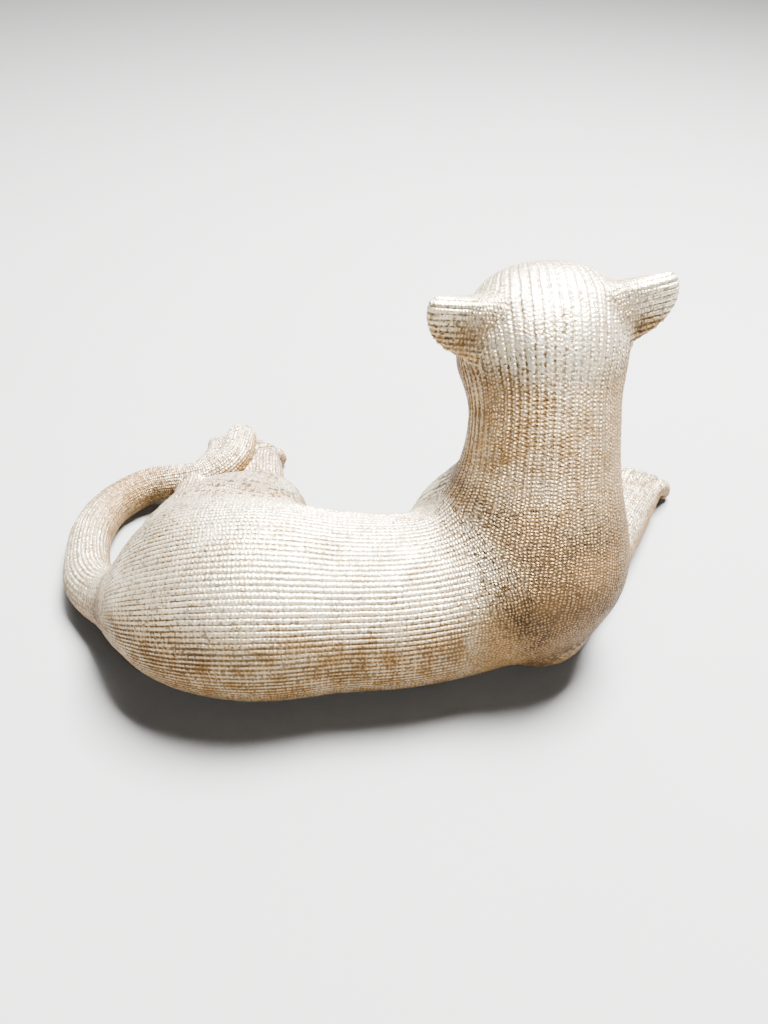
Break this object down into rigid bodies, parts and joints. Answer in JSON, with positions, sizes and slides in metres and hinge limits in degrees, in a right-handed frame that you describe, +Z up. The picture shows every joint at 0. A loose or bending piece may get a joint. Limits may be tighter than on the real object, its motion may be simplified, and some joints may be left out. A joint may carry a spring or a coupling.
{
  "type": "leopard figurine",
  "caption": "Cast reclining leopard figurine with raised head, crossed hind paws and a curled tail, finely ribbed all over, resting on its flat underside.",
  "frame": {"origin": "centre of the bounding box, at the height of the surface it rests on", "axes": "+X from the chest towards the rump along the body, +Y towards the back, so the face looks along -Y, +Z up"},
  "size_m": [0.2644, 0.1698, 0.1325],
  "materials": {
    "gold_resin": "cast resin with a soft metallic champagne-gold paint and bronze patina in the grooves"
  },
  "bodies": {
    "root": {"leopard": "gold_resin"}
  },
  "joints": []
}
